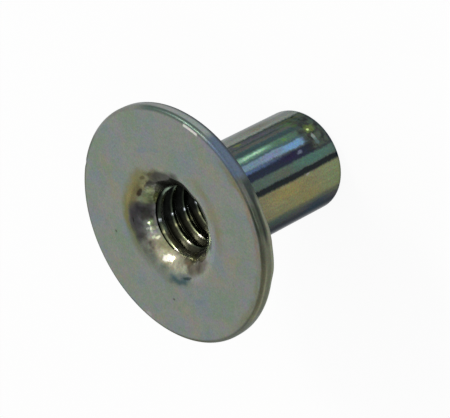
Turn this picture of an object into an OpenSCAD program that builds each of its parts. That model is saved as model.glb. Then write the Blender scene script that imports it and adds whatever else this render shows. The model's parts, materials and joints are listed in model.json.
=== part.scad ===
// T-nut: one round flange and one threaded barrel, pressed from a single piece of steel.
// It stands on the end of its barrel, with the flange's open mouth facing up.
// The origin is the centre of the barrel's end, and +Z is the axis.
// The bore is modelled at the thread's minor diameter.

/* [Flange] */
// Diameter over the rim
flange_d = 19; // [17:0.1:24]
// Thickness of the plate
flange_t = 1.15; // [1:0.05:2]
// Radius of the rim's edge on the outer face
face_edge_r = 0.35; // [0.1:0.05:0.45]
// Radius of the rim's edge on the face that seats on the panel
seat_edge_r = 0.4; // [0.1:0.05:0.5]

/* [Barrel] */
// Outer diameter
barrel_d = 8.15; // [7.8:0.05:9.5]
// Overall length, from the outer face to the barrel's end
overall_l = 15; // [9:0.1:22]
// Radius of the rounded lead-in at the barrel's end
lead_in_r = 0.9; // [0.2:0.05:0.95]
// Radius of the fillet where the barrel meets the flange
neck_fillet_r = 0.4; // [0.2:0.05:0.8]

/* [Bore] */
// Minor diameter of the thread
bore_d = 5.1; // [4.9:0.05:5.3]
// Radius of the drawn mouth, where the outer face rolls down into the bore
mouth_r = 2.15; // [1.4:0.05:2.4]
// Width of the chamfer at the far end of the bore
countersink_w = 0.25; // [0.1:0.05:0.25]

/* [Hidden] */
STEEL = [0.56, 0.57, 0.50];
// How far a cutting shape runs past the surface that it cuts
OVER = 0.5;
$fn = 96;

flange_r = flange_d / 2;
barrel_r = barrel_d / 2;
bore_r = bore_d / 2;
seat_z = overall_l - flange_t;

// Rounds the corner of a plate. The corner is at the origin and the metal lies below it and
// to its left, so this is what is left between the two edges and their arc.
module edge_round(r) {
    difference() {
        translate([-r, -r]) square(r + OVER);
        translate([-r, -r]) circle(r);
    }
}

// Fills a corner between a wall on the left and a ceiling above with a concave arc.
module corner_fillet(r) {
    difference() {
        translate([-OVER, -r]) square([r + OVER, r + OVER]);
        translate([r, -r]) circle(r);
    }
}

// The plate from the axis to the rim, with both of its edges rounded.
module flange_section() {
    difference() {
        translate([0, seat_z]) square([flange_r, flange_t]);
        translate([flange_r, overall_l]) edge_round(face_edge_r);
        translate([flange_r, seat_z]) mirror([0, 1]) edge_round(seat_edge_r);
    }
}

// The barrel's half section, filled in to the axis, with its lead-in and its neck fillet.
module barrel_section() {
    difference() {
        square([barrel_r, seat_z + flange_t / 2]);
        translate([barrel_r, 0]) mirror([0, 1]) edge_round(lead_in_r);
    }
    intersection() {
        translate([barrel_r, seat_z]) corner_fillet(neck_fillet_r);
        square([flange_r, seat_z + flange_t / 2]);
    }
}

// What the bore, its rolled mouth and its countersink take away.
module bore_section() {
    translate([0, -OVER]) square([bore_r, overall_l + 2 * OVER]);
    difference() {
        translate([0, overall_l - mouth_r]) square([bore_r + mouth_r, mouth_r + OVER]);
        translate([bore_r + mouth_r, overall_l - mouth_r]) circle(mouth_r);
    }
    polygon([
        [0, -OVER],
        [bore_r + countersink_w + OVER, -OVER],
        [bore_r + countersink_w, 0],
        [bore_r, countersink_w],
        [0, countersink_w]
    ]);
}

module t_nut() {
    color(STEEL)
    rotate_extrude()
    difference() {
        union() {
            flange_section();
            barrel_section();
        }
        bore_section();
    }
}

t_nut();
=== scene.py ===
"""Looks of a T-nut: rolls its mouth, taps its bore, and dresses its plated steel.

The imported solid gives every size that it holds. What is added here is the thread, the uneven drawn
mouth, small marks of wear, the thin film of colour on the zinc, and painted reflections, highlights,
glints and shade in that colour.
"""

import json
import logging
import math
from collections.abc import Callable, Mapping, Sequence
from dataclasses import dataclass, field, replace
from enum import Enum, IntEnum
from typing import Any, Union

import bmesh
import bpy
from mathutils import Matrix, Vector


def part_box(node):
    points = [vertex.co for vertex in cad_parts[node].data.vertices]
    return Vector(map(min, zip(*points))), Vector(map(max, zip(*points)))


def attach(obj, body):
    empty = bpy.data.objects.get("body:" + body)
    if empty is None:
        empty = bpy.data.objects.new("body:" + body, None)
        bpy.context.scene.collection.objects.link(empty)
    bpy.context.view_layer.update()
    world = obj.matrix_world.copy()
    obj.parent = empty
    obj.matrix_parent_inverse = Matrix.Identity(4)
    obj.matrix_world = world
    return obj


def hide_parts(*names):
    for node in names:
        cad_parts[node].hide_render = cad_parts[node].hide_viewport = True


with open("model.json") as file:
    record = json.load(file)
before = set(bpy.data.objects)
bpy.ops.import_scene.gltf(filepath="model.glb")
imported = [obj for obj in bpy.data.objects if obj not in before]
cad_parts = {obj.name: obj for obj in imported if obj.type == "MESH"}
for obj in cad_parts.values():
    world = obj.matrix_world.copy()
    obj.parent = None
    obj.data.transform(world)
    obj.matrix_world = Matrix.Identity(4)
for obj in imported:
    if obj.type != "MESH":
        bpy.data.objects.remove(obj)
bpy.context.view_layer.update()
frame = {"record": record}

LOG = logging.getLogger("t_nut")
MM = 0.001
NEAR = 0.02 * MM
SAME = 0.002 * MM
WELD = 0.001 * MM
NODE = "t_nut"
BODY = "root"

Colour = tuple[float, float, float, float]
Place = tuple[float, float, float]
Pair = tuple[float, float]
Socket = str | int
Settings = Mapping[str, Any] | None
Inputs = Mapping[Socket, Any] | None

HERE: Place = (0.0, 0.0, 0.0)
EVEN: Place = (1.0, 1.0, 1.0)
WHITE: Colour = (1.0, 1.0, 1.0, 1.0)

# Where a Mix node set to colours has its factor, its two colours and its result.
MIX_INPUTS = (0, 6, 7)
MIX_OUTPUT = 2


def shade(red: int, green: int, blue: int) -> Colour:
    """Returns the linear colour of a screen colour.

    Args:
        red: Red, from 0 to 255.
        green: Green, from 0 to 255.
        blue: Blue, from 0 to 255.

    Returns:
        The colour as Blender's sockets hold it.
    """
    top, foot, slope, lift, power = 255, 0.04045, 12.92, 0.055, 2.4

    def linear(value: int) -> float:
        """Undoes the screen's curve on one channel."""
        share = value / top
        return share / slope if share <= foot else ((share + lift) / (1.0 + lift)) ** power

    return (linear(red), linear(green), linear(blue), 1.0)


def toward(azimuth: float, elevation: float) -> Vector:
    """Returns the unit vector from the nut towards a place in the room.

    Args:
        azimuth: Degrees round from the camera's side, -Y, towards +X.
        elevation: Degrees above the floor.

    Returns:
        The direction.
    """
    around, above = math.radians(azimuth), math.radians(elevation)
    flat = math.cos(above)
    return Vector((math.sin(around) * flat, -math.cos(around) * flat, math.sin(above)))


# ---------------------------------------------------------------- shader graph


def operator(operation: str, flipped: bool = False) -> Callable[["Wire", "Term"], "Wire"]:
    """Makes one of Wire's Python operators.

    Args:
        operation: The Math node that it adds.
        flipped: Whether the other term comes first.

    Returns:
        The operator.
    """

    def join(wire: "Wire", other: "Term") -> "Wire":
        """Adds the Math node for a wire and another term."""
        terms = (other, wire) if flipped else (wire, other)
        return wire.graph.math(operation, *terms)

    return join


class Wire:
    """One output socket, on which sums are written as Python expressions."""

    def __init__(self, graph: "Graph", socket: bpy.types.NodeSocket) -> None:
        """Keeps the graph that holds the socket, and the socket."""
        self.graph = graph
        self.socket = socket

    __add__, __radd__ = operator("ADD"), operator("ADD", flipped=True)
    __sub__, __rsub__ = operator("SUBTRACT"), operator("SUBTRACT", flipped=True)
    __mul__, __rmul__ = operator("MULTIPLY"), operator("MULTIPLY", flipped=True)
    __truediv__, __pow__ = operator("DIVIDE"), operator("POWER")


Term = Union[Wire, float]


class Graph:
    """The node tree of one material or of the world, emptied and built by name."""

    def __init__(self, tree: bpy.types.NodeTree) -> None:
        """Empties the tree."""
        self.tree = tree
        tree.nodes.clear()

    def node(self, kind: str, settings: Settings = None, inputs: Inputs = None) -> bpy.types.Node:
        """Makes one node.

        Args:
            kind: The node's type.
            settings: Its own settings, set first.
            inputs: Values or wires for its sockets, by name or number.

        Returns:
            The node.
        """
        made = self.tree.nodes.new(kind)
        for name, value in (settings or {}).items():
            setattr(made, name, value)
        for name, value in (inputs or {}).items():
            if isinstance(value, Wire):
                self.tree.links.new(value.socket, made.inputs[name])
            else:
                made.inputs[name].default_value = value
        return made

    def wire(self, kind: str, settings: Settings = None, inputs: Inputs = None, output: Socket = 0) -> Wire:
        """Makes one node and returns one of its outputs, by name or number."""
        return Wire(self, self.node(kind, settings, inputs).outputs[output])

    def math(self, operation: str, *terms: Term) -> Wire:
        """Adds a Math node and returns its result."""
        return self.wire("ShaderNodeMath", {"operation": operation}, dict(enumerate(terms)))

    def vector(self, operation: str, *terms: Wire | Place) -> Wire:
        """Adds a Vector Math node and returns its result."""
        return self.wire("ShaderNodeVectorMath", {"operation": operation}, dict(enumerate(terms)))

    def smooth(self, value: Term, low: float, high: float) -> Wire:
        """Rises smoothly from 0 at the low value to 1 at the high one."""
        inputs = {"Value": value, "From Min": low, "From Max": high}
        return self.wire("ShaderNodeMapRange", {"interpolation_type": "SMOOTHSTEP"}, inputs)

    def rise(self, value: Term, base: float, ends: Pair) -> Wire:
        """Rises smoothly from 0 to 1 between two places, each given by its way from a base."""
        return self.smooth(value, base + ends[0], base + ends[1])

    def window(self, value: Term, low: float, high: float, soft: float) -> Wire:
        """Is 1 between two values and fades to 0 outside, over twice the soft width at each."""
        rise = self.smooth(value, low - soft, low + soft)
        return rise * (1.0 - self.smooth(value, high - soft, high + soft))

    def mix(self, factor: Term, first: Wire | Colour, second: Wire | Colour) -> Wire:
        """Mixes two colours, from the first at a factor of 0 to the second at 1."""
        inputs = dict(zip(MIX_INPUTS, (factor, first, second)))
        return self.wire("ShaderNodeMix", {"data_type": "RGBA", "clamp_factor": True}, inputs, MIX_OUTPUT)

    def tint(self, colour: Wire, by: Wire) -> Wire:
        """Multiplies a colour by a grey level."""
        return self.wire("ShaderNodeVectorMath", {"operation": "SCALE"}, {0: colour, "Scale": by})

    def place(self, stretch: Place = EVEN, shift: Place = HERE) -> Wire:
        """Returns the point on the piece in millimetres, scaled and moved for a pattern.

        Args:
            stretch: How many times longer the pattern is along each axis.
            shift: How far the pattern is moved.

        Returns:
            The point.
        """
        point = self.wire("ShaderNodeTexCoord", output="Object")
        scale = tuple(1.0 / (MM * along) for along in stretch)
        return self.wire("ShaderNodeMapping", None, {"Vector": point, "Location": shift, "Scale": scale})

    def split(self, vector: Wire) -> list[Wire]:
        """Returns a vector's three parts."""
        parts = self.node("ShaderNodeSeparateXYZ", None, {0: vector}).outputs
        return [Wire(self, part) for part in parts]

    def metal(self, inputs: Mapping[str, Any]) -> None:
        """Ends a material in a metal surface with the given inputs."""
        surface = self.wire("ShaderNodeBsdfPrincipled", None, {"Metallic": 1.0, **inputs})
        self.node("ShaderNodeOutputMaterial", None, {"Surface": surface})


def new_material(name: str) -> tuple[bpy.types.Material, Graph]:
    """Makes an empty material.

    Args:
        name: Its name.

    Returns:
        The material and its graph.
    """
    made = bpy.data.materials.new(name)
    made.use_nodes = True
    return made, Graph(made.node_tree)


@dataclass(frozen=True)
class Noise:
    """A random pattern: its lumps' size in millimetres, its gain, its finer layers, and where it is read."""

    size: float
    gain: float = 1.0
    detail: float = 3.0
    roughness: float = 0.55
    stretch: Place = EVEN
    shift: Place = HERE

    def read(self, graph: Graph, output: Socket = 0) -> Wire:
        """Reads the pattern without its gain.

        Args:
            graph: The graph that is built.
            output: "Color" for three patterns in one, or 0 for one.

        Returns:
            The pattern, from 0 to 1.
        """
        inputs = {"Vector": graph.place(self.stretch, self.shift), "Scale": 1.0 / self.size}
        inputs |= {"Detail": self.detail, "Roughness": self.roughness}
        return graph.wire("ShaderNodeTexNoise", None, inputs, output)

    def level(self, graph: Graph) -> Wire:
        """Returns the pattern, from 0 to its gain."""
        return self.read(graph) * self.gain

    def wobble(self, graph: Graph) -> Wire:
        """Returns the pattern about nought, with its gain from end to end."""
        return (self.read(graph) - 0.5) * self.gain

    def moved(self, graph: Graph, point: Wire) -> Wire:
        """Moves a point at random, so that the edge of what is laid by it wanders."""
        middle = graph.vector("SUBTRACT", self.read(graph, "Color"), (0.5,) * 3)
        return graph.vector("MULTIPLY_ADD", middle, (self.gain,) * 3, point)

    def speckled(self, graph: Graph, colour: Wire) -> Wire:
        """Changes a colour a little from speck to speck, each channel by itself.

        Args:
            graph: The graph that is built.
            colour: The colour.

        Returns:
            The changed colour.
        """
        rest = (1.0 - 0.5 * self.gain,) * 3
        gains = graph.vector("MULTIPLY_ADD", self.read(graph, "Color"), (self.gain,) * 3, rest)
        return graph.vector("MULTIPLY", colour, gains)


@dataclass(frozen=True)
class Bumps:
    """A fine relief: its pattern, its strength, and its depth in millimetres."""

    noise: Noise
    strength: float
    depth: float

    def normal(self, graph: Graph) -> Wire:
        """Returns the normal of a surface with this relief."""
        inputs = {"Strength": self.strength, "Distance": self.depth * MM, "Height": self.noise.read(graph)}
        return graph.wire("ShaderNodeBump", None, inputs)


@dataclass(frozen=True)
class Polar:
    """A point on the piece by its distance from the axis, its way round and its height."""

    radius: Wire
    x: Wire
    y: Wire
    height: Wire

    @classmethod
    def of(cls, graph: Graph, point: Wire) -> "Polar":
        """Returns the polar form of a point in millimetres."""
        x, y, height = graph.split(point)
        return cls((x * x + y * y) ** 0.5, x, y, height)

    def sector(self, centre: float, half: float, soft: float) -> Wire:
        """Masks a sector round the axis.

        Args:
            centre: Degrees round from +X of the sector's middle.
            half: Half its width in degrees.
            soft: Half the width of its fade in degrees.

        Returns:
            The mask.
        """
        around = math.radians(centre)
        cosine = (self.x * math.cos(around) + self.y * math.sin(around)) / self.radius
        outer, inner = math.cos(math.radians(half + soft)), math.cos(math.radians(half - soft))
        return self.radius.graph.smooth(cosine, outer, inner)

    def angle(self) -> Wire:
        """Returns the degrees round from +X, from -180 to 180."""
        return self.radius.graph.math("ARCTAN2", self.y, self.x) * math.degrees(1.0)


# ---------------------------------------------------------------- finishes


class Tone(Enum):
    """Colours of the zinc, its film, and the painted shade in the mouth."""

    SATIN = shade(147, 151, 143)
    WARM = shade(158, 150, 126)
    GREEN = shade(128, 150, 126)
    COOL = shade(132, 146, 154)
    LAVENDER = shade(150, 140, 158)
    OCHRE = shade(126, 122, 72)
    OLIVE = shade(132, 130, 84)
    MOSS = shade(104, 118, 76)
    TEAL = shade(66, 92, 96)
    SLATE = shade(90, 87, 90)
    UMBER = shade(74, 62, 46)
    RUST = shade(150, 116, 84)
    DUSK = shade(116, 124, 106)
    SMOKE = shade(62, 62, 58)
    TAN = shade(160, 150, 100)
    SAGE = shade(132, 142, 98)
    STRAW = shade(134, 128, 103)


@dataclass(frozen=True)
class StainAndShade:
    """A patch on the flange, bounded round the axis and outwards from it: film, and in the mouth's dark
    patches painted shade.
    """

    tone: Tone
    strength: float
    centre: float
    half: float
    inner: float
    outer: float
    soft_round: float = 12.0
    soft_out: float = 0.3

    def over(self, graph: Graph, polar: Polar, colour: Wire) -> Wire:
        """Lays the patch over a colour.

        Args:
            graph: The graph that is built.
            polar: The place on the flange.
            colour: The colour under it.

        Returns:
            The colour with the patch.
        """
        mask = polar.sector(self.centre, self.half, self.soft_round)
        mask = mask * graph.window(polar.radius, self.inner, self.outer, self.soft_out)
        return graph.mix(mask * self.strength, colour, self.tone.value)


@dataclass(frozen=True)
class Cloud:
    """Clouds of one tone: their size, where their pattern is read, their strength, layers and edges."""

    tone: Colour
    size: float
    shift: Place
    strength: float
    detail: float = 4.0
    roughness: float = 0.6
    ends: Pair = (0.46, 0.66)

    def over(self, graph: Graph, colour: Wire | Colour, where: Term = 1.0) -> Wire:
        """Lays the clouds over a colour.

        Args:
            graph: The graph that is built.
            colour: The colour under them.
            where: A mask that they stay in.

        Returns:
            The colour with the clouds.
        """
        lumps = Noise(self.size, 1.0, self.detail, self.roughness, shift=self.shift).read(graph)
        mask = graph.smooth(lumps, *self.ends) * self.strength
        return graph.mix(mask * where, colour, self.tone)


@dataclass(frozen=True)
class Band:
    """A strip of colour between two angles round the axis and two heights, for film tints and for painted
    reflections, highlights and shade.
    """

    start: float
    end: float
    tone: Colour
    soft: float = 0.8
    low: float = -1.0
    high: float = 16.0
    fade: float = 0.5
    strength: float = 1.0

    def mask(self, graph: Graph, angle: Wire, height: Wire) -> Wire:
        """Returns where the strip lies: its window of angles times its window of heights."""
        across = graph.window(angle, self.start, self.end, self.soft)
        return across * graph.window(height, self.low, self.high, self.fade)

    def over(self, graph: Graph, angle: Wire, height: Wire, colour: Wire | Colour) -> Wire:
        """Lays the strip over a colour."""
        return graph.mix(self.mask(graph, angle, height) * self.strength, colour, self.tone)


@dataclass(frozen=True)
class MarkAndGlint:
    """A small round mark or painted glint, by its angle, its height or radius, and its half sizes."""

    angle: float
    level: float
    half_angle: float
    half_level: float
    tone: Colour
    strength: float = 1.0
    core: float = 0.5
    edge: float = 1.4

    def over(self, graph: Graph, angle: Wire, level: Wire, rag: Wire, colour: Wire) -> Wire:
        """Lays the mark over a colour.

        Args:
            graph: The graph that is built.
            angle: Degrees round the axis.
            level: Height or radius in millimetres.
            rag: What breaks the mark's outline.
            colour: The colour under it.

        Returns:
            The colour with the mark.
        """
        across = (angle - self.angle) / self.half_angle
        along = (level - self.level) / self.half_level
        reach = (across * across + along * along) ** 0.5 + rag
        mask = (1.0 - graph.smooth(reach, self.core, self.edge)) * self.strength
        return graph.mix(mask, colour, self.tone)


SPOT_RAG = Noise(0.3, 1.6, shift=(1.0, 8.0, 4.0))


def lay_spots(graph: Graph, spots: Sequence[MarkAndGlint], angle: Wire, level: Wire, colour: Wire) -> Wire:
    """Lays small marks and painted glints over a colour, with outlines that one pattern breaks.

    Args:
        graph: The graph that is built.
        spots: The marks and painted glints, from the lowest to the topmost.
        angle: Degrees round the axis.
        level: Height or radius in millimetres.
        colour: The colour under them.

    Returns:
        The colour with the marks.
    """
    rag = SPOT_RAG.wobble(graph)
    for spot in spots:
        colour = spot.over(graph, angle, level, rag, colour)
    return colour


@dataclass(frozen=True)
class FlangeZinc:
    """Satin zinc on the flange: faintly clouded, an olive ring round the mouth, painted glints and edge
    highlight.
    """

    rim_r: float
    mouth_r: float
    face_z: float
    name: str = "flange_zinc"
    roughness: float = 0.36
    mouth_roughness: float = 0.15
    rough: Noise = Noise(0.45, 0.2)
    mouth_film: float = 0.10
    mouth_fade: Pair = (-0.7, 0.2)
    uneven: Noise = Noise(0.9, 2.4, 2.0, 0.6, shift=(2.0, 2.0, 7.0))
    uneven_fade: Pair = (-1.1, -0.4)
    grain: Noise = Noise(0.12, 0.4, 2.0)
    grain_least: float = 0.9
    specks: Noise = Noise(0.16, 0.5, 1.0, 0.5)
    bumps: Bumps = Bumps(Noise(0.5, 1.0, 2.0, 0.6), 0.2, 0.02)
    drift: Noise = Noise(0.95, 0.84, 1.0, 0.4)
    rim_fade: Pair = (-0.42, -0.18)
    seat_fade: Pair = (-1.1, -0.8)
    lip_fade: Pair = (-0.1, 0.1)
    sheen: Colour = (0.6, 0.62, 0.62, 1.0)
    clouds: tuple[Cloud, ...] = (
        Cloud(Tone.WARM.value, 2.6, HERE, 0.7),
        Cloud(Tone.GREEN.value, 2.6, (11.0, 5.0, 3.0), 0.6),
        Cloud(Tone.COOL.value, 2.6, (4.0, 17.0, 9.0), 0.7),
        Cloud(Tone.LAVENDER.value, 0.9, (-7.0, 13.0, 1.0), 0.4),
        Cloud(Tone.GREEN.value, 0.45, (3.0, -9.0, 6.0), 0.5),
    )
    stains_and_shade: tuple[StainAndShade, ...] = (
        StainAndShade(Tone.STRAW, 0.75, 128.0, 34.0, 2.4, 3.95, 14.0, 0.3),
        StainAndShade(Tone.OLIVE, 0.45, 112.0, 16.0, 2.4, 3.0, 10.0, 0.2),
        StainAndShade(Tone.UMBER, 0.60, 177.0, 21.0, 2.4, 4.1, 12.0, 0.3),
        StainAndShade(Tone.OCHRE, 0.80, 44.0, 44.0, 4.3, 4.9, 16.0, 0.4),
        StainAndShade(Tone.OCHRE, 0.70, 58.0, 14.0, 4.55, 5.05, 10.0, 0.25),
        StainAndShade(Tone.MOSS, 0.50, 88.0, 12.0, 4.2, 5.0, 10.0, 0.4),
        StainAndShade(Tone.DUSK, 0.60, 130.0, 36.0, 4.0, 4.85, 12.0, 0.35),
        StainAndShade(Tone.UMBER, 0.50, 182.0, 20.0, 3.2, 4.1, 16.0, 0.4),
        StainAndShade(Tone.TEAL, 0.90, 153.0, 12.0, 4.2, 4.65, 6.0, 0.22),
        StainAndShade(Tone.TAN, 0.85, 32.0, 14.0, 3.7, 4.7, 8.0, 0.3),
        StainAndShade(Tone.OLIVE, 0.70, 2.0, 20.0, 3.6, 4.5, 10.0, 0.3),
        StainAndShade(Tone.SAGE, 0.85, 32.0, 14.0, 2.6, 3.5, 9.0, 0.25),
        # The SLATE and SMOKE patches round the mouth are painted shade over the film: they darken it where it
        # reflects dark.
        StainAndShade(Tone.SLATE, 0.90, 55.0, 10.0, 2.6, 4.2, 5.0, 0.3),
        StainAndShade(Tone.SLATE, 0.85, 68.0, 18.0, 3.55, 4.45, 7.0, 0.3),
        StainAndShade(Tone.SMOKE, 0.90, -26.0, 22.0, 2.6, 4.35, 8.0, 0.3),
        StainAndShade(Tone.RUST, 0.42, -104.0, 18.0, 8.8, 9.15, 10.0, 0.2),
        StainAndShade(Tone.OCHRE, 0.55, -84.0, 8.0, 8.7, 9.15, 6.0, 0.2),
        StainAndShade(Tone.LAVENDER, 0.60, -66.0, 6.0, 8.9, 9.2, 6.0, 0.15),
        StainAndShade(Tone.OCHRE, 0.45, -152.0, 16.0, 8.8, 9.2, 10.0, 0.2),
        StainAndShade(Tone.OCHRE, 0.35, -112.0, 14.0, 4.7, 5.4),
        StainAndShade(Tone.OCHRE, 0.30, -80.0, 10.0, 4.8, 5.6),
    )
    marks: tuple[MarkAndGlint, ...] = (
        MarkAndGlint(28.0, 3.78, 7.0, 0.15, shade(70, 58, 48), 0.85),
        MarkAndGlint(163.0, 4.22, 7.0, 0.12, shade(44, 58, 58), 0.8),
        MarkAndGlint(10.0, 3.68, 8.0, 0.09, shade(80, 68, 40), 0.7),
        MarkAndGlint(-8.0, 4.20, 4.0, 0.15, shade(76, 66, 40), 0.6),
        MarkAndGlint(6.0, 4.20, 4.0, 0.15, shade(80, 74, 44), 0.6),
        MarkAndGlint(4.0, 3.52, 13.0, 0.26, shade(66, 66, 60), 0.9),
        MarkAndGlint(80.0, 3.62, 8.0, 0.20, shade(82, 84, 78), 0.7),
        MarkAndGlint(15.0, 3.28, 9.0, 0.20, shade(92, 100, 66), 0.85),
        MarkAndGlint(60.0, 3.25, 9.0, 0.35, shade(64, 64, 56), 0.7),
        MarkAndGlint(66.0, 4.20, 4.0, 0.07, shade(40, 38, 34), 0.8),
        MarkAndGlint(84.0, 3.95, 3.0, 0.40, shade(84, 82, 78), 0.7),
        # These five bright spots are painted glints in the mouth; the last one widens the lamp's highlight
        # there.
        MarkAndGlint(80.5, 3.02, 3.0, 0.16, shade(226, 232, 196), 0.85),
        MarkAndGlint(78.5, 3.32, 1.6, 0.12, shade(226, 230, 210), 0.8),
        MarkAndGlint(95.0, 3.05, 2.4, 0.15, shade(226, 230, 200), 0.85),
        MarkAndGlint(92.0, 3.25, 2.0, 0.10, shade(200, 206, 176), 0.7),
        MarkAndGlint(125.5, 3.38, 5.0, 0.26, shade(240, 236, 224), 0.75),
        MarkAndGlint(96.0, 3.60, 2.5, 0.12, shade(90, 84, 80), 0.6),
        MarkAndGlint(72.0, 3.05, 5.0, 0.16, shade(110, 130, 84), 0.7),
        MarkAndGlint(104.0, 3.85, 3.0, 0.12, shade(90, 86, 80), 0.6),
        MarkAndGlint(158.0, 3.60, 6.0, 0.30, shade(166, 172, 148), 0.5),
        MarkAndGlint(164.0, 3.20, 7.0, 0.12, shade(120, 88, 74), 0.6),
        MarkAndGlint(178.0, 3.25, 4.0, 0.10, shade(170, 174, 150), 0.6),
        MarkAndGlint(172.0, 3.00, 14.0, 0.40, shade(86, 84, 58), 0.7),
        MarkAndGlint(143.0, 6.25, 1.2, 0.10, shade(96, 92, 84), 0.8),
        MarkAndGlint(75.6, 6.50, 0.9, 0.12, shade(88, 88, 80), 0.8),
        MarkAndGlint(-115.0, 5.00, 6.0, 0.20, shade(140, 136, 104), 0.5),
        MarkAndGlint(-81.0, 5.25, 6.0, 0.20, shade(140, 136, 104), 0.5),
        MarkAndGlint(-11.0, 6.10, 5.0, 0.25, shade(128, 142, 152), 0.6),
        MarkAndGlint(-24.0, 6.00, 5.0, 0.20, shade(126, 140, 150), 0.6),
        MarkAndGlint(169.0, 6.10, 5.0, 0.25, shade(124, 138, 146), 0.6),
        MarkAndGlint(125.0, 9.05, 2.0, 0.20, shade(176, 180, 172), 0.6),
    )
    # The rim's strips are painted reflection and shade tinted with the film: dark and light strips round the
    # rim and seat edge, and a darkened face edge from -62° to -20° that paints over the lamps' highlight
    # there.
    rim_bands: tuple[Band, ...] = (
        Band(-46.0, 20.0, shade(144, 146, 144), 8.0),
        Band(-30.0, 6.0, shade(128, 130, 124), 10.0, 14.6, 16.0, 0.1),
        Band(-64.0, -42.0, shade(135, 144, 141), 5.0),
        Band(-86.0, -62.0, shade(88, 102, 120), 3.0),
        Band(-84.0, 2.0, shade(62, 68, 72), 9.0, 13.0, 14.26, 0.14),
        Band(-62.0, -20.0, shade(80, 94, 87), 7.0, 14.74, 16.0, 0.06),
        Band(-98.0, -86.0, shade(58, 66, 64), 3.0),
        Band(-103.0, -86.0, shade(100, 104, 96), 3.0, 14.72, 16.0, 0.08),
        Band(-114.0, -98.0, shade(72, 79, 68), 3.0),
        Band(-156.0, -114.0, shade(98, 101, 85), 5.0),
        Band(-160.0, -126.0, shade(124, 124, 102), 4.0, 14.7, 16.0, 0.08),
        Band(40.0, 75.0, shade(92, 98, 80), 8.0),
        Band(95.0, 120.0, shade(72, 86, 92), 6.0),
        Band(140.0, 165.0, shade(88, 90, 70), 8.0),
        Band(-170.0, -96.0, shade(122, 126, 108), 6.0, 13.0, 14.28, 0.08),
        Band(-116.0, -94.0, shade(50, 54, 50), 4.0, 14.42, 14.64, 0.10),
    )
    # The rim's base tone, darker than the face, is painted shade.
    rim_tone: Colour = shade(106, 110, 100)
    # A painted highlight: a short bright line on the face's edge, standing for a lamp's reflection there.
    streak: Band = Band(-57.4, -48.4, shade(236, 234, 226), 0.5, 9.03, 9.23, 0.05)

    def material(self) -> bpy.types.Material:
        """Builds the finish.

        Returns:
            The material.
        """
        made, graph = new_material(self.name)
        point = graph.place()
        polar = Polar.of(graph, point)
        angle, radius = polar.angle(), polar.radius
        drifted = Polar.of(graph, self.drift.moved(graph, point))
        colour: Wire | Colour = Tone.SATIN.value
        for cloud in self.clouds:
            colour = cloud.over(graph, colour)
        for stain in self.stains_and_shade:
            colour = stain.over(graph, drifted, colour)
        # Lays the marks, with the painted glints among them.
        colour = lay_spots(graph, self.marks, angle, radius, colour)
        colour = self._rimmed(graph, polar, angle, colour)
        # Lays the painted highlight on the face's edge.
        colour = self.streak.over(graph, angle, radius, colour)
        colour = self.specks.speckled(graph, graph.tint(colour, self.grain_least + self.grain.level(graph)))
        deep = 1.0 - graph.rise(radius, self.mouth_r, self.uneven_fade)
        in_mouth = 1.0 - graph.rise(radius, self.mouth_r, self.mouth_fade)
        smoother = in_mouth * (self.mouth_roughness - self.roughness)
        inputs = {
            "Base Color": graph.tint(colour, 1.0 + deep * self.uneven.wobble(graph)),
            "Metallic": 1.0 - in_mouth * self.mouth_film,
            "Roughness": self.roughness + smoother + self.rough.wobble(graph),
            "Normal": self.bumps.normal(graph),
            "Specular Tint": self.sheen,
        }
        graph.metal(inputs)
        return made

    def _rimmed(self, graph: Graph, polar: Polar, angle: Wire, colour: Wire) -> Wire:
        """Darkens the rim and the seat side and tints them from place to place: painted reflection and shade
        with film tints.

        Args:
            graph: The graph that is built.
            polar: The place on the flange.
            angle: Degrees round the axis.
            colour: The face's colour.

        Returns:
            The whole flange's colour.
        """
        rim: Wire | Colour = self.rim_tone
        for band in self.rim_bands:
            rim = band.over(graph, angle, polar.height, rim)
        outside = graph.rise(polar.radius, self.rim_r, self.rim_fade)
        under = 1.0 - graph.rise(polar.height, self.face_z, self.seat_fade)
        under = under * graph.rise(polar.radius, self.mouth_r, self.lip_fade)
        return graph.mix(graph.math("MAXIMUM", outside, under), colour, rim)


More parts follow.
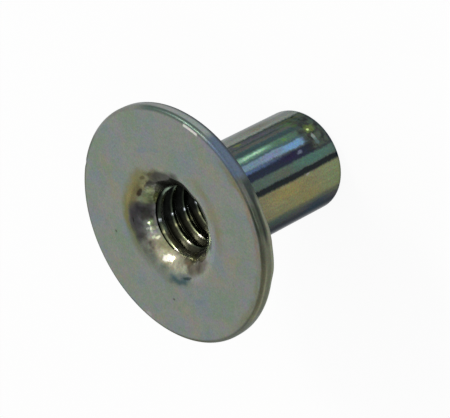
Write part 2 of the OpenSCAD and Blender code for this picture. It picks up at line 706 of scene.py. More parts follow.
@dataclass(frozen=True)
class BarrelZinc:
    """Glossy zinc on the barrel, with strips of painted reflection, highlight and dark lines along it, tinted
    with the film.
    """

    name: str = "barrel_zinc"
    roughness: float = 0.2
    rough: Noise = Noise(0.5, 0.14, stretch=(1.0, 1.0, 6.0))
    wander: Noise = Noise(1.6, 3.4, stretch=(1.0, 1.0, 3.0))
    rag: Noise = Noise(0.28, 3.6, 3.0, 0.6)
    sway: Noise = Noise(0.5, 1.2, shift=(5.0, 2.0, 8.0))
    softness: float = 1.8
    least: float = 0.56
    streaks: Noise = Noise(0.3, 0.56, 4.0, 0.65, stretch=(1.0, 1.0, 6.0))
    grain: Noise = Noise(0.1, 0.5, 1.0)
    specks: Noise = Noise(0.14, 0.8, 1.0, 0.5)
    bumps: Bumps = Bumps(Noise(0.12, 1.0, 2.0, stretch=(1.0, 1.0, 14.0)), 0.1, 0.01)
    sheen: Colour = (0.4, 0.42, 0.44, 1.0)
    ground: Colour = shade(76, 84, 82)
    # The strips paint the barrel's reflections into its colour, with the film's tints: bright strips such as
    # the pale green at -61° and the pale grey from -22° to 2° are painted highlights and sheen, near-black
    # strips are painted dark reflections.
    bands: tuple[Band, ...] = (
        Band(-172.0, -137.5, shade(80, 78, 77), 1.5),
        Band(-172.0, -153.0, shade(60, 59, 60), 2.5),
        Band(-143.5, -137.0, shade(92, 96, 80), 2.0),
        Band(-150.0, -137.5, shade(68, 84, 78), 3.0, 6.0, 9.5, 1.0, 0.7),
        Band(-162.0, -142.0, shade(50, 70, 82), 3.0, 2.2, 4.0, 0.8, 0.6),
        Band(-137.5, -106.5, shade(116, 115, 86), 1.6),
        Band(-122.0, -108.0, shade(132, 122, 76), 3.0, 4.8, 8.2, 0.8, 0.7),
        Band(-137.0, -122.0, shade(126, 120, 78), 3.0, 3.0, 5.4, 0.8, 0.7),
        Band(-135.0, -107.0, shade(112, 124, 92), 2.0, 0.0, 2.6, 0.8, 0.8),
        Band(-134.0, -108.0, shade(112, 108, 84), 2.0, 8.6, 14.0, 0.5, 0.7),
        Band(-106.6, -99.6, shade(34, 38, 40), 0.9),
        Band(-99.4, -88.6, shade(76, 92, 84), 0.9),
        Band(-98.5, -91.0, shade(96, 92, 80), 1.5, 5.6, 7.0, 0.6, 0.6),
        Band(-98.5, -89.0, shade(70, 106, 96), 1.0, 1.2, 4.6, 0.8, 0.7),
        Band(-88.8, -77.8, shade(40, 46, 60), 0.9),
        Band(-86.0, -78.0, shade(44, 34, 62), 1.5, 4.2, 5.8, 0.7, 0.8),
        Band(-87.0, -62.0, shade(40, 40, 40), 1.5, 1.9, 2.9, 0.4, 0.9),
        Band(-75.4, -67.8, shade(104, 132, 144), 0.9, 2.85, 16.0, 0.3),
        Band(-79.5, -76.0, shade(78, 98, 134), 1.0, 7.0, 16.0, 1.5),
        Band(-75.0, -69.0, shade(124, 128, 164), 1.0, 5.6, 7.8, 0.6, 0.7),
        Band(-75.5, -68.5, shade(106, 146, 186), 1.0, 3.0, 5.0, 0.4, 0.9),
        Band(-67.8, -65.2, shade(70, 92, 98), 0.5, 2.8, 16.0, 0.4),
        Band(-65.2, -57.6, shade(80, 108, 92), 0.9, 3.0, 16.0, 0.5),
        Band(-65.0, -58.4, shade(95, 131, 116), 0.9, 6.0, 14.0, 0.5),
        Band(-62.8, -60.0, shade(176, 216, 184), 0.6, 6.4, 9.2, 0.6, 0.7),
        Band(-57.4, -51.8, shade(58, 76, 78), 0.9),
        Band(-51.0, -47.5, shade(84, 86, 82), 0.7, 1.5),
        Band(-46.5, -45.0, shade(60, 72, 70), 0.6, 1.5),
        Band(-44.0, -38.5, shade(86, 84, 92), 1.0, 4.0, 9.0, 0.8, 0.8),
        Band(-48.5, -43.0, shade(80, 108, 64), 1.5, 1.9, 3.2, 0.5, 0.9),
        Band(-42.0, -38.0, shade(78, 86, 66), 0.8, 0.5, 4.0, 0.6),
        Band(-38.2, -35.4, shade(66, 74, 68), 0.8),
        Band(-35.4, -22.0, shade(140, 146, 138), 1.2),
        Band(-22.0, 2.0, shade(184, 186, 180), 3.0),
        Band(-30.0, -14.0, shade(140, 136, 116), 3.0, 3.0, 6.5, 1.2, 0.6),
        Band(2.0, 36.0, shade(84, 92, 92), 2.0),
        Band(36.0, 62.0, shade(118, 118, 88), 2.0),
        Band(62.0, 70.0, shade(40, 46, 48), 1.0),
        Band(70.0, 84.0, shade(88, 104, 116), 1.5),
        Band(84.0, 90.0, shade(120, 150, 128), 1.0, 3.0),
        Band(98.0, 128.0, shade(66, 78, 74), 2.0),
        Band(128.0, 136.0, shade(42, 48, 50), 1.2),
        Band(136.0, 164.0, shade(116, 122, 108), 2.0),
        Band(164.0, 178.0, shade(88, 94, 96), 2.0),
    )
    spots: tuple[MarkAndGlint, ...] = (
        MarkAndGlint(-63.0, 1.70, 5.0, 0.50, shade(96, 112, 62), 0.85),
        MarkAndGlint(-73.5, 1.80, 4.5, 0.14, shade(136, 146, 142), 0.8),
        MarkAndGlint(-79.5, 1.80, 4.0, 0.16, shade(84, 104, 108), 0.7),
        # A painted glint on the dent near the barrel's end.
        MarkAndGlint(-63.4, 1.80, 1.7, 0.13, shade(198, 228, 152)),
        MarkAndGlint(-52.0, 2.50, 2.5, 0.30, shade(70, 92, 58), 0.7),
        MarkAndGlint(-82.0, 3.90, 2.0, 0.26, shade(110, 118, 138), 0.7),
        MarkAndGlint(-108.0, 4.05, 1.4, 0.22, shade(150, 156, 150), 0.5),
        MarkAndGlint(-40.5, 7.90, 2.0, 0.40, shade(104, 116, 66), 0.8),
        MarkAndGlint(-38.5, 1.70, 1.2, 0.20, shade(44, 46, 36), 0.8),
        MarkAndGlint(-62.0, 4.40, 2.0, 0.30, shade(92, 128, 72), 0.7),
        MarkAndGlint(-30.0, 5.00, 3.0, 0.40, shade(136, 132, 104), 0.6),
    )
    end_patch: Band = Band(-87.0, -43.0, shade(60, 62, 59), 4.0, 0.5, 2.5, 0.5, 0.8)
    end_clouds: tuple[Cloud, ...] = (
        Cloud(shade(36, 38, 40), 0.6, (9.0, 1.0, 2.0), 0.6, 3.0, 0.55, (0.44, 0.62)),
        Cloud(shade(78, 92, 78), 0.6, (2.0, 6.0, 7.0), 0.6, 3.0, 0.55, (0.44, 0.62)),
    )

    def material(self) -> bpy.types.Material:
        """Builds the finish.

        Returns:
            The material.
        """
        made, graph = new_material(self.name)
        polar = Polar.of(graph, graph.place())
        angle = polar.angle() + self.wander.wobble(graph) + self.rag.wobble(graph)
        height = polar.height + self.sway.wobble(graph)
        colour: Wire | Colour = self.ground
        # Lays the strips of painted reflection and film tint.
        for band in self.bands:
            soft = replace(band, soft=band.soft * self.softness, fade=band.fade * self.softness)
            colour = soft.over(graph, angle, height, colour)
        colour = self.end_patch.over(graph, angle, height, colour)
        near_end = self.end_patch.mask(graph, angle, height)
        for cloud in self.end_clouds:
            colour = cloud.over(graph, colour, near_end)
        colour = lay_spots(graph, self.spots, angle, polar.height, colour)
        level = self.least + self.streaks.level(graph) + self.grain.level(graph)
        inputs = {
            "Base Color": self.specks.speckled(graph, graph.tint(colour, level)),
            "Roughness": self.roughness + self.rough.wobble(graph),
            "Normal": self.bumps.normal(graph),
            "Specular Tint": self.sheen,
        }
        graph.metal(inputs)
        return made


@dataclass(frozen=True)
class ThreadSteel:
    """Steel in the tapped bore: dark flanks under brighter, blotchy crests with painted glints."""

    bore_r: float
    mouth: float
    length: float
    flank: Colour = shade(30, 32, 30)
    crest: Colour = shade(66, 74, 62)
    crest_ends: Pair = (0.044, 0.176)
    wander: Noise = Noise(0.5, 10.0)
    blotches: Noise = Noise(0.35, 1.7, 3.0, 0.6)
    least: float = 0.15
    roughness: float = 0.26
    rough: Noise = Noise(0.25, 0.16)
    low_flank: Band = Band(86.0, 160.0, shade(52, 52, 42), 8.0)
    # Painted glints and reflections on the crests: white glints near 73° and 131° where the lamps catch them,
    # and paler streaks between them and near 15°.
    crest_highlights: tuple[Band, ...] = (
        Band(4.0, 26.0, shade(150, 170, 150), 5.0),
        Band(71.5, 75.0, shade(224, 232, 240), 2.5),
        Band(84.0, 140.0, shade(122, 128, 100), 5.0),
        Band(90.0, 95.0, shade(200, 200, 150), 2.0),
        Band(127.0, 135.0, shade(236, 230, 214), 2.5),
    )

    def material(self, name: str) -> bpy.types.Material:
        """Builds the finish.

        Args:
            name: The material's name.

        Returns:
            The material.
        """
        made, graph = new_material(name)
        polar = Polar.of(graph, graph.place())
        above = graph.math("MAXIMUM", polar.height - (self.length - self.mouth), 0.0)
        roll = (self.mouth * self.mouth - above * above) ** 0.5
        wall = self.bore_r + self.mouth - roll
        cut = graph.smooth(polar.radius - wall, *self.crest_ends)
        around = polar.angle() + self.wander.wobble(graph)
        crest: Wire | Colour = self.crest
        for band in self.crest_highlights:
            crest = band.over(graph, around, polar.height, crest)
        flank = self.low_flank.over(graph, around, polar.height, self.flank)
        inputs = {
            "Base Color": graph.tint(graph.mix(cut, crest, flank), self.least + self.blotches.level(graph)),
            "Roughness": self.roughness + self.rough.wobble(graph),
        }
        graph.metal(inputs)
        return made


# ---------------------------------------------------------------- modelling


class Finish(IntEnum):
    """Which finish a face wears, by its place on the piece's list."""

    FLANGE = 0
    BARREL = 1
    BORE = 2
    GROOVE = 3


class Pick(Enum):
    """What a selection takes."""

    VERTICES = "VERT"
    EDGES = "EDGE"
    FACES = "FACE"


def start_clean() -> None:
    """Leaves edit mode and deselects everything."""
    if bpy.context.object and bpy.context.object.mode != "OBJECT":
        bpy.ops.object.mode_set(mode="OBJECT")
    bpy.ops.object.select_all(action="DESELECT")


def pick(kind: Pick, test: Callable[[Sequence[Vector]], bool]) -> int:
    """Selects, in edit mode, what passes a test of its corners.

    Args:
        kind: Vertices, edges or faces.
        test: Says from the places of a thing's corners whether it is taken.

    Returns:
        How many things were taken.
    """
    bpy.ops.mesh.select_mode(type=kind.value)
    bpy.ops.mesh.select_all(action="DESELECT")
    mesh = bmesh.from_edit_mesh(bpy.context.edit_object.data)
    things = {Pick.VERTICES: mesh.verts, Pick.EDGES: mesh.edges, Pick.FACES: mesh.faces}[kind]
    taken = 0
    for thing in things:
        corners = [thing.co] if kind is Pick.VERTICES else [corner.co for corner in thing.verts]
        if test(corners):
            thing.select_set(True)
            taken += 1
    mesh.select_flush_mode()
    bmesh.update_edit_mesh(bpy.context.edit_object.data)
    return taken


def radius_of(point: Vector) -> float:
    """Returns a point's distance from the axis."""
    return math.hypot(point.x, point.y)


def apply_modifier(piece: bpy.types.Object, kind: str, settings: Mapping[str, Any]) -> None:
    """Adds a modifier and applies it.

    Args:
        piece: The piece.
        kind: The modifier's type.
        settings: Its settings.
    """
    modifier = piece.modifiers.new(kind.title(), kind)
    for name, value in settings.items():
        setattr(modifier, name, value)
    bpy.context.view_layer.objects.active = piece
    bpy.ops.object.modifier_apply(modifier=modifier.name)


@dataclass
class Thread:
    """A tap for the bore: one groove's section, wound up the axis and drawn shallow at its top."""

    pitch: float = 1.27 * MM
    outline: tuple[Pair, ...] = (
        (3.180, 0.040),
        (3.165, 0.085),
        (3.130, 0.130),
        (2.625, 0.421),
        (2.594, 0.445),
        (2.570, 0.476),
        (2.555, 0.512),
        (2.545, 0.545),
        (2.520, 0.550),
    )
    end_z: float = 14.487 * MM
    end_at: float = 180.0
    late_share: float = 0.6
    late_drop: float = 0.36 * MM
    late_scale: float = 0.9
    late_reach: float = 6.0 * MM
    steps: int = 96

    @property
    def turns(self) -> int:
        """How many times the groove goes round."""
        return math.ceil(self.end_z / self.pitch)

    def cutter(self) -> bpy.types.Object:
        """Winds the groove's section up the axis.

        Returns:
            The closed cutter, right-handed, that starts below the bore and shallows at its top.
        """
        tool = self._section()
        settings = {"axis": "Z", "screw_offset": self.pitch, "iterations": self.turns, "steps": self.steps}
        settings |= {"render_steps": self.steps, "use_merge_vertices": False}
        apply_modifier(tool, "SCREW", settings)
        bpy.ops.object.mode_set(mode="EDIT")
        bpy.ops.mesh.select_all(action="SELECT")
        bpy.ops.mesh.remove_doubles(threshold=WELD)
        bpy.ops.mesh.select_mode(type="VERT")
        bpy.ops.mesh.select_all(action="DESELECT")
        bpy.ops.mesh.select_non_manifold()
        bpy.ops.mesh.fill_holes(sides=0)
        bpy.ops.mesh.select_all(action="SELECT")
        bpy.ops.mesh.normals_make_consistent(inside=False)
        self._shallow_top()
        bpy.ops.object.mode_set(mode="OBJECT")
        tool.data.transform(Matrix.Rotation(math.radians(self.end_at), 4, "Z"))
        return tool

    def _shallow_top(self) -> None:
        """Draws the last part of the groove down and in, with a smooth change into the rest."""
        pick(Pick.VERTICES, lambda ends: self._turns_up(ends[0]) > self.turns - self.late_share)
        soft = {"use_proportional_edit": True, "use_proportional_connected": True}
        soft |= {"proportional_edit_falloff": "SMOOTH", "proportional_size": self.late_reach}
        bpy.ops.transform.translate(value=(0.0, 0.0, -self.late_drop), **soft)
        grow = (self.late_scale, self.late_scale, 1.0)
        bpy.ops.transform.resize(value=grow, center_override=(0.0, 0.0, self.end_z), **soft)

    def _turns_up(self, point: Vector) -> float:
        """Counts the turns from the groove's start up to the section that a point lies in.

        Args:
            point: The point.

        Returns:
            The turns, with their part.
        """
        part = math.atan2(point.y, point.x) / math.tau % 1.0
        start = self.end_z - self.pitch * self.turns
        return round((point.z - start) / self.pitch - part) + part

    def _section(self) -> bpy.types.Object:
        """Draws the groove's section where it starts: rounded root, flanks and rolled-over crests.

        Returns:
            The section, as a closed ring of edges.
        """
        start_clean()
        (root, root_half), (after, after_half) = self.outline[:2]
        bpy.ops.mesh.primitive_plane_add(size=1.0, location=(0.0, 0.0, 0.0), rotation=(math.pi / 2, 0.0, 0.0))
        tool = bpy.context.object
        bpy.ops.object.transform_apply(location=True, rotation=True, scale=True)
        bpy.ops.object.mode_set(mode="EDIT")
        bpy.ops.mesh.select_all(action="SELECT")
        bpy.ops.transform.resize(value=((root - after) * MM, 1.0, 2.0 * after_half * MM))
        bpy.ops.transform.translate(value=(0.5 * (root + after) * MM, 0.0, 0.0))
        middle = 0.5 * (root + after) * MM
        pick(Pick.EDGES, lambda ends: all(end.x > middle for end in ends))
        bpy.ops.transform.resize(value=(1.0, 1.0, root_half / after_half))
        pick(Pick.EDGES, lambda ends: all(end.x < middle for end in ends))
        before, before_half = after, after_half
        for radius, half in self.outline[2:]:
            inward = ((radius - before) * MM, 0.0, 0.0)
            bpy.ops.mesh.extrude_region_move(TRANSFORM_OT_translate={"value": inward})
            bpy.ops.transform.resize(value=(1.0, 1.0, half / before_half))
            before, before_half = radius, half
        bpy.ops.mesh.select_all(action="SELECT")
        bpy.ops.transform.translate(value=(0.0, 0.0, self.end_z - self.pitch * self.turns))
        bpy.ops.mesh.delete(type="ONLY_FACE")
        self._clear_inner_edges()
        bpy.ops.object.mode_set(mode="OBJECT")
        return tool

    def _clear_inner_edges(self) -> None:
        """Deletes the edges that cross the section inside its outline."""
        inner, outer = self.outline[-1][0] * MM + SAME, self.outline[0][0] * MM - SAME
        crossing = pick(
            Pick.EDGES,
            lambda ends: abs(ends[0].x - ends[1].x) < SAME and inner < ends[0].x < outer,
        )
        if crossing != len(self.outline) - 2:
            raise ValueError(f"{crossing} edges cross the groove's section inside its outline")
        bpy.ops.mesh.delete(type="EDGE_FACE")


@dataclass(frozen=True)
class Push:
    """A soft push on the mesh: where, which way, and how wide it reaches, in millimetres."""

    at: Place
    by: Place
    grip: float
    reach: float
    beyond_r: float = 0.0
    within_r: float = 20.0

    def takes(self, point: Vector) -> bool:
        """Says whether a point is gripped."""
        near = (point - Vector(self.at) * MM).length < self.grip * MM
        return near and self.beyond_r * MM < radius_of(point) < self.within_r * MM


@dataclass
class TNut:
    """The nut's one piece of steel, from the rim of its flange to the end of its barrel."""

    flange_r: float
    barrel_r: float
    bore_r: float
    seat_z: float
    length: float
    face_edge: float = 0.35 * MM
    seat_edge: float = 0.40 * MM
    lead_in: float = 0.90 * MM
    neck: float = 0.40 * MM
    mouth: float = 2.15 * MM
    countersink: float = 0.25 * MM
    segments: int = 288
    edge_steps: tuple[int, ...] = (12, 8, 8, 14, 40)
    face_cuts: int = 16
    barrel_cuts: int = 60
    lumps: tuple[Pair, ...] = ((0.9 * MM, 0.036 * MM), (0.42 * MM, 0.006 * MM))
    lump_weights: tuple[Pair, ...] = ((0.0, 0.15), (0.25 * MM, 0.5), (0.6 * MM, 1.0))
    smooth_angle: float = 35.0
    pushes: tuple[Push, ...] = (
        Push((-0.2, -3.25, 14.3), (0.0, -0.17, 0.02), 2.3, 2.0, 2.6, 3.8),
        Push((0.3, -3.4, 14.52), (0.0, -0.07, 0.03), 0.6, 1.2, 2.8, 3.9),
        Push((2.4, -2.3, 14.5), (0.08, -0.06, 0.0), 0.5, 1.2, 2.8, 3.9),
        Push((-3.9, -8.62, 13.9), (-0.03, -0.08, -0.06), 0.45, 1.6),
        Push((-5.8, -7.4, 13.9), (-0.05, -0.06, -0.06), 0.45, 1.4),
        Push((1.1, -4.05, 1.9), (0.0, 0.07, 0.0), 0.15, 0.5),
        Push((1.8, -3.65, 1.75), (-0.03, 0.06, 0.0), 0.15, 0.45),
        Push((0.5, -3.9, 1.0), (0.0, 0.06, 0.03), 0.15, 0.5),
        Push((2.9, -2.85, 1.3), (-0.05, 0.05, 0.02), 0.15, 0.5),
        Push((-1.3, -3.85, 4.05), (0.02, 0.05, 0.0), 0.12, 0.3),
        Push((7.2, 5.9, 14.95), (-0.02, -0.02, -0.04), 0.12, 0.3),
        Push((9.2, -1.0, 14.9), (-0.05, 0.0, -0.03), 0.15, 0.35),
    )
    piece: bpy.types.Object = field(init=False)
    finishes: dict[Finish, bpy.types.Material] = field(init=False)

    def build(self) -> bpy.types.Object:
        """Turns, rolls, marks, dresses and taps the nut.

        Returns:
            The finished piece.
        """
        self.turn_blank()
        self.round_edges()
        self.divide_faces()
        self.push_places()
        self.roll_mouth()
        self.dress()
        self.tap_bore()
        self.smooth()
        return self.piece

    def turn_blank(self) -> None:
        """Draws the blank's corners as rings, from the bore's far end round to the bore again."""
        corners = (
            (self.bore_r + self.countersink, 0.0),
            (self.barrel_r, 0.0),
            (self.barrel_r, self.seat_z),
            (self.flange_r, self.seat_z),
            (self.flange_r, self.length),
            (self.bore_r, self.length),
            (self.bore_r, self.countersink),
        )
        start_clean()
        before_r, before_z = self.bore_r, self.countersink
        bpy.ops.mesh.primitive_circle_add(
            vertices=self.segments, radius=before_r, fill_type="NOTHING", location=(0.0, 0.0, before_z)
        )
        self.piece = bpy.context.object
        bpy.ops.object.transform_apply(location=True, rotation=True, scale=True)
        bpy.ops.object.mode_set(mode="EDIT")
        bpy.ops.mesh.select_all(action="SELECT")
        for radius, height in corners:
            bpy.ops.mesh.extrude_region_move(TRANSFORM_OT_translate={"value": (0.0, 0.0, height - before_z)})
            grow = radius / before_r
            bpy.ops.transform.resize(value=(grow, grow, 1.0), center_override=(0.0, 0.0, height))
            before_r, before_z = radius, height
        bpy.ops.mesh.select_all(action="SELECT")
        bpy.ops.mesh.remove_doubles(threshold=WELD)
        bpy.ops.mesh.normals_make_consistent(inside=False)

    def round_edges(self) -> None:
        """Rounds the lead-in, the neck, both edges of the rim, and the mouth."""
        edges = (
            (self.barrel_r, 0.0, self.lead_in),
            (self.barrel_r, self.seat_z, self.neck),
            (self.flange_r, self.seat_z, self.seat_edge),
            (self.flange_r, self.length, self.face_edge),
            (self.bore_r, self.length, self.mouth),
        )
        for (radius, height, size), steps in zip(edges, self.edge_steps):
            pick(
                Pick.EDGES,
                lambda ends, radius=radius, height=height: all(
                    abs(radius_of(end) - radius) < NEAR and abs(end.z - height) < NEAR for end in ends
                ),
            )
            bpy.ops.mesh.bevel(offset=size, offset_type="OFFSET", segments=steps, profile=0.5, affect="EDGES")

    def divide_faces(self) -> None:
        """Divides the flange's face and the barrel, so that marks can be pressed in."""
        middle_r = 0.5 * (self.bore_r + self.mouth + self.flange_r)
        pick(Pick.EDGES, lambda ends: self._crosses_radius(ends, middle_r))
        bpy.ops.mesh.subdivide(number_cuts=self.face_cuts)
        pick(Pick.EDGES, lambda ends: self._crosses_height(ends, self.barrel_r, 0.5 * self.seat_z))
        bpy.ops.mesh.subdivide(number_cuts=self.barrel_cuts)

    def _crosses_radius(self, ends: Sequence[Vector], radius: float) -> bool:
        """Says whether an edge on the outer face crosses a circle round the axis."""
        low, high = sorted(radius_of(end) for end in ends)
        return low < radius < high and all(end.z > self.length - NEAR for end in ends)

    def _crosses_height(self, ends: Sequence[Vector], radius: float, height: float) -> bool:
        """Says whether an edge along a wall of a given radius crosses a height."""
        low, high = sorted(end.z for end in ends)
        return low < height < high and all(abs(radius_of(end) - radius) < NEAR for end in ends)

    def push_places(self) -> None:
        """Pushes the lip, the burred seat edge and the small dents in or out."""
        for push in self.pushes:
            pick(Pick.VERTICES, lambda ends, push=push: push.takes(ends[0]))
            bpy.ops.transform.translate(
                value=Vector(push.by) * MM,
                use_proportional_edit=True,
                use_proportional_connected=True,
                proportional_edit_falloff="SMOOTH",
                proportional_size=push.reach * MM,
            )

    def roll_mouth(self) -> None:
        """Makes the drawn mouth uneven, as metal is that was pulled down into a barrel."""
        group = "mouth"
        self.piece.vertex_groups.new(name=group)
        low_z = self.length - self.mouth + NEAR
        for inward, weight in self.lump_weights:
            reach = self.bore_r + self.mouth - inward
            pick(Pick.VERTICES, lambda ends, reach=reach: radius_of(ends[0]) < reach and ends[0].z > low_z)
            bpy.context.scene.tool_settings.vertex_group_weight = weight
            bpy.ops.object.vertex_group_assign()
        bpy.ops.object.mode_set(mode="OBJECT")
        for size, height in self.lumps:
            clouds = bpy.data.textures.new("mouth_lumps", "CLOUDS")
            clouds.noise_scale = size
            clouds.noise_depth = 0
            settings = {"texture": clouds, "texture_coords": "LOCAL", "strength": 2.0 * height}
            settings |= {"mid_level": 0.5, "vertex_group": group}
            apply_modifier(self.piece, "DISPLACE", settings)
        self._keep_below_face()

    def _keep_below_face(self) -> None:
        """Presses whatever stands above the outer face back into its plane."""
        bpy.ops.object.mode_set(mode="EDIT")
        if pick(Pick.VERTICES, lambda ends: ends[0].z > self.length):
            bpy.ops.transform.resize(value=(1.0, 1.0, 0.0), center_override=(0.0, 0.0, self.length))
        bpy.ops.object.mode_set(mode="OBJECT")

    def dress(self) -> None:
        """Gives the flange, the barrel and the bore their finishes."""
        steel = ThreadSteel(bore_r=self.bore_r / MM, mouth=self.mouth / MM, length=self.length / MM)
        satin = FlangeZinc(
            rim_r=self.flange_r / MM, mouth_r=(self.bore_r + self.mouth) / MM, face_z=self.length / MM
        )
        self.finishes = {
            Finish.FLANGE: satin.material(),
            Finish.BARREL: BarrelZinc().material(),
            Finish.BORE: steel.material("bore_steel"),
            Finish.GROOVE: steel.material("groove_steel"),
        }
        for material in self.finishes.values():
            self.piece.data.materials.append(material)
        bpy.ops.object.mode_set(mode="EDIT")
        self._assign(Finish.BARREL, lambda ends: all(self._on_barrel(end) for end in ends))
        bore, mouth_z = self.bore_r + 0.5 * self.countersink, self.length - self.mouth + NEAR
        self._assign(Finish.BORE, lambda ends: all(radius_of(end) < bore and end.z < mouth_z for end in ends))
        bpy.ops.object.mode_set(mode="OBJECT")

    def _on_barrel(self, point: Vector) -> bool:
        """Says whether a point lies on the barrel's outside or its end.

        Args:
            point: The point.

        Returns:
            Whether it does.
        """
        radius = radius_of(point)
        outside = radius > 0.5 * (self.bore_r + self.barrel_r) or point.z < self.lead_in
        return outside and point.z < self.seat_z + NEAR and radius < self.barrel_r + self.neck

    def _assign(self, finish: Finish, test: Callable[[Sequence[Vector]], bool]) -> None:
        """Gives faces a finish.

        Args:
            finish: The finish.
            test: Says from the places of a face's corners whether it gets it.
        """
        pick(Pick.FACES, test)
        self.piece.active_material_index = finish
        bpy.ops.object.material_slot_assign()

    def tap_bore(self) -> None:
        """Cuts the thread right through the bore, with its run-out in the mouth."""
        tool = Thread().cutter()
        tool.data.materials.append(self.finishes[Finish.GROOVE])
        start_clean()
        self.piece.select_set(True)
        settings = {"operation": "DIFFERENCE", "solver": "EXACT", "object": tool}
        apply_modifier(self.piece, "BOOLEAN", settings | {"material_mode": "TRANSFER"})
        bpy.data.objects.remove(tool)

    def smooth(self) -> None:
        """Smooths the rounded surfaces, and keeps the true edges and those where finishes meet."""
        start_clean()
        self.piece.select_set(True)
        bpy.context.view_layer.objects.active = self.piece
        bpy.ops.object.mode_set(mode="EDIT")
        bpy.ops.mesh.select_mode(type="EDGE")
        bpy.ops.mesh.select_all(action="DESELECT")
        mesh = bmesh.from_edit_mesh(self.piece.data)
        for edge in mesh.edges:
            finishes = {face.material_index for face in edge.link_faces}
            edge.select_set(finishes == {Finish.FLANGE, Finish.GROOVE})
        bmesh.update_edit_mesh(self.piece.data)
        bpy.ops.mesh.mark_sharp()
        bpy.ops.object.mode_set(mode="OBJECT")
        bpy.ops.object.shade_smooth_by_angle(angle=math.radians(self.smooth_angle), keep_sharp_edges=True)


# ---------------------------------------------------------------- studio


@dataclass(frozen=True)
class Lamp:
    """A round soft lamp that faces the nut."""

    name: str
    azimuth: float
    elevation: float
    distance: float
    size: float
    power: float
    tint: Place = EVEN

    def light(self, aim: Vector) -> None:
        """Hangs the lamp.

        Args:
            aim: The point that it faces.
        """
        data = bpy.data.lights.new(self.name, "AREA")
        data.shape = "DISK"
        data.size = self.size
        data.energy = self.power
        data.color = self.tint
        lamp = bpy.data.objects.new(self.name, data)
        bpy.context.collection.objects.link(lamp)
        way = toward(self.azimuth, self.elevation)
        lamp.location = aim + way * self.distance
        lamp.rotation_euler = way.to_track_quat("Z", "Y").to_euler()


@dataclass(frozen=True)
class Patch:
    """A brighter or darker part of the room, with a soft edge."""

    azimuth: float
    elevation: float
    half: float
    soft: float
    level: float


@dataclass(frozen=True)
class Viewpoint:
    """Where the camera stands, by what it sees."""

    elevation: float = 38.69
    roll: float = -117.35
    depth: float = 185.5 * MM
    lens: float = 200.0
    sensor: float = 36.0
    image: Pair = (450.0, 418.0)
    face_at: Pair = (170.55, 226.35)
    clip: Pair = (10.0 * MM, 100.0)

    def place(self, face_centre: Vector) -> None:
        """Sets up the camera so that the middle of the outer face lands on its pixel.

        Args:
            face_centre: The middle of the flange's outer face.
        """
        down, turn = math.radians(self.elevation), math.radians(self.roll)
        forward = Vector((0.0, math.cos(down), -math.sin(down)))
        level_up = Vector((0.0, math.sin(down), math.cos(down)))
        right = Vector((1.0, 0.0, 0.0)) * math.cos(turn) + level_up * math.sin(turn)
        up = right.cross(forward)
        focal = self.lens / self.sensor * self.image[0]
        across = (self.face_at[0] - 0.5 * self.image[0]) / focal
        below = (self.face_at[1] - 0.5 * self.image[1]) / focal
        data = bpy.data.cameras.new("camera")
        data.lens = self.lens
        data.sensor_width = self.sensor
        data.clip_start, data.clip_end = self.clip
        camera = bpy.data.objects.new("camera", data)
        bpy.context.collection.objects.link(camera)
        turned = Matrix((right, up, -forward)).transposed().to_4x4()
        place = face_centre - self.depth * (forward + across * right - below * up)
        camera.matrix_world = Matrix.Translation(place) @ turned
        bpy.context.scene.camera = camera


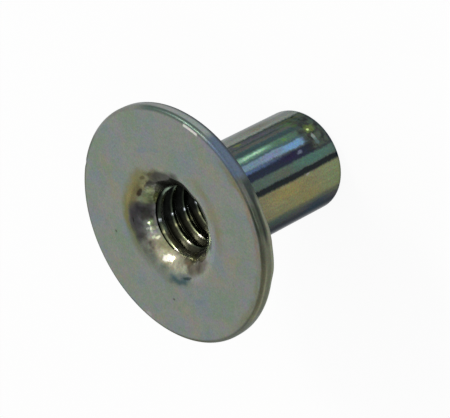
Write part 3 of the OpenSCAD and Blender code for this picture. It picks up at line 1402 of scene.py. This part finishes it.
@dataclass
class Studio:
    """A pale floor, a soft room with a darker side, and two lamps."""

    aim: Vector
    face_centre: Vector
    floor_size: float = 6.0
    floor_tone: Colour = (0.9, 0.9, 0.9, 1.0)
    floor_glow: float = 0.93
    room_level: float = 0.8
    lamps: tuple[Lamp, ...] = (
        Lamp("main_lamp", 82.0, 45.0, 0.30, 0.06, 0.24, (1.0, 0.98, 0.9)),
        Lamp("side_lamp", -31.0, 50.0, 0.30, 0.03, 0.05),
    )
    patches: tuple[Patch, ...] = (
        Patch(85.0, 45.0, 22.0, 15.0, 1.2),
        Patch(-96.0, 48.0, 38.0, 12.0, 0.34),
        Patch(-140.0, 62.0, 24.0, 12.0, 0.3),
        Patch(-130.0, 20.0, 8.0, 6.0, 1.2),
    )

    def build(self) -> None:
        """Sets up the floor, the room, the lamps and the camera."""
        self.lay_floor()
        self.light_room()
        for lamp in self.lamps:
            lamp.light(self.aim)
        Viewpoint().place(self.face_centre)
        bpy.context.scene.view_settings.view_transform = "Standard"

    def lay_floor(self) -> None:
        """Lays the floor: white where the camera or the metal sees it, and shaded by the nut."""
        start_clean()
        bpy.ops.mesh.primitive_plane_add(size=self.floor_size, location=(0.0, 0.0, 0.0))
        floor = bpy.context.object
        floor.name = "floor"
        made, graph = new_material("floor_paper")
        path = graph.node("ShaderNodeLightPath").outputs
        rays = ("Is Camera Ray", "Is Glossy Ray", "Is Transmission Ray")
        camera, glossy, through = (Wire(graph, path[name]) for name in rays)
        share = (camera + glossy + through) * self.floor_glow
        paper = graph.wire("ShaderNodeBsdfDiffuse", None, {"Color": self.floor_tone})
        white = graph.wire("ShaderNodeEmission", None, {"Color": WHITE, "Strength": 1.0})
        surface = graph.wire("ShaderNodeMixShader", None, {0: share, 1: paper, 2: white})
        graph.node("ShaderNodeOutputMaterial", None, {"Surface": surface})
        floor.data.materials.append(made)

    def light_room(self) -> None:
        """Gives the room an even pale light with softly darker and brighter parts."""
        world = bpy.data.worlds.new("room")
        bpy.context.scene.world = world
        world.use_nodes = True
        graph = Graph(world.node_tree)
        way = graph.wire("ShaderNodeTexCoord", output="Generated")
        level: Term = self.room_level
        for patch in self.patches:
            ahead = tuple(toward(patch.azimuth, patch.elevation))
            settings = {"operation": "DOT_PRODUCT"}
            cosine = graph.wire("ShaderNodeVectorMath", settings, {0: way, 1: ahead}, "Value")
            outer = math.cos(math.radians(patch.half + patch.soft))
            inner = math.cos(math.radians(patch.half - patch.soft))
            inside = graph.smooth(cosine, outer, inner)
            level = level * (1.0 - inside) + inside * patch.level
        surface = graph.wire("ShaderNodeBackground", None, {"Color": WHITE, "Strength": level})
        graph.node("ShaderNodeOutputWorld", None, {"Surface": surface})


# ---------------------------------------------------------------- the part


def mount(name: str) -> Mapping[str, Any]:
    """Returns one of the record's mounts by its name."""
    return next(mount for mount in frame["record"]["mounts"] if mount["name"] == name)


def main() -> None:
    """Builds the nut and the studio, and reports each piece."""
    logging.basicConfig(level=logging.INFO, format="%(message)s")
    low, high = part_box(NODE)
    nut = TNut(
        flange_r=min(high.x, -low.x),
        barrel_r=mount("barrel")["dims"]["r_mm"] * MM,
        bore_r=mount("thread")["dims"]["r_mm"] * MM,
        seat_z=mount("seat")["pos_m"][2],
        length=high.z,
    )
    piece = nut.build()
    piece.name = "t_nut_steel"
    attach(piece, BODY)
    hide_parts(NODE)
    LOG.info("%s: %d faces", piece.name, len(piece.data.polygons))
    Studio(aim=Vector((0.0, 0.0, 0.5 * high.z)), face_centre=Vector((0.0, 0.0, high.z))).build()
    LOG.info("studio: floor, room, lamps and camera")


if __name__ == "__main__":
    main()
